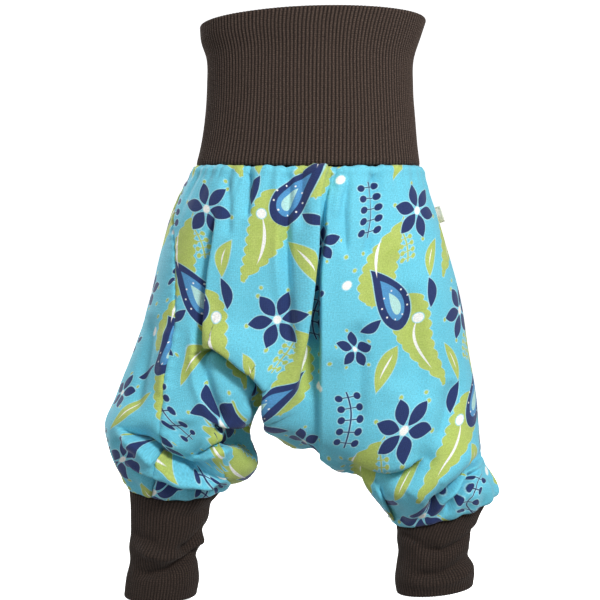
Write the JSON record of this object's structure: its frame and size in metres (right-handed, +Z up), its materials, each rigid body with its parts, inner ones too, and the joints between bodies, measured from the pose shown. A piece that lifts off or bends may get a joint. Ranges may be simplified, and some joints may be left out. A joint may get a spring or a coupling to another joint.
{
  "type": "harem pants",
  "caption": "Baby's harem pants in worn form: tall doubled rib waistband, gathered jersey body with a dropped crotch, blousing legs and rib cuffs.",
  "frame": {"origin": "middle of the wearer's waist, inside the rib waistband", "axes": "+Z up the body, -Y out of the front, +X towards the wearer's left"},
  "size_m": [0.3049, 0.1588, 0.4495],
  "materials": {
    "band_rib": "dark brown cotton rib knit, matt",
    "cuff_rib": "dark brown cotton rib knit, matt",
    "jersey": "turquoise printed cotton jersey, soft and matt",
    "tape": "blank white woven tape"
  },
  "bodies": {
    "root": {"waistband": "band_rib", "front": "jersey", "back": "jersey", "cuff_right": "cuff_rib", "cuff_left": "cuff_rib", "side_label": "tape"}
  },
  "joints": []
}
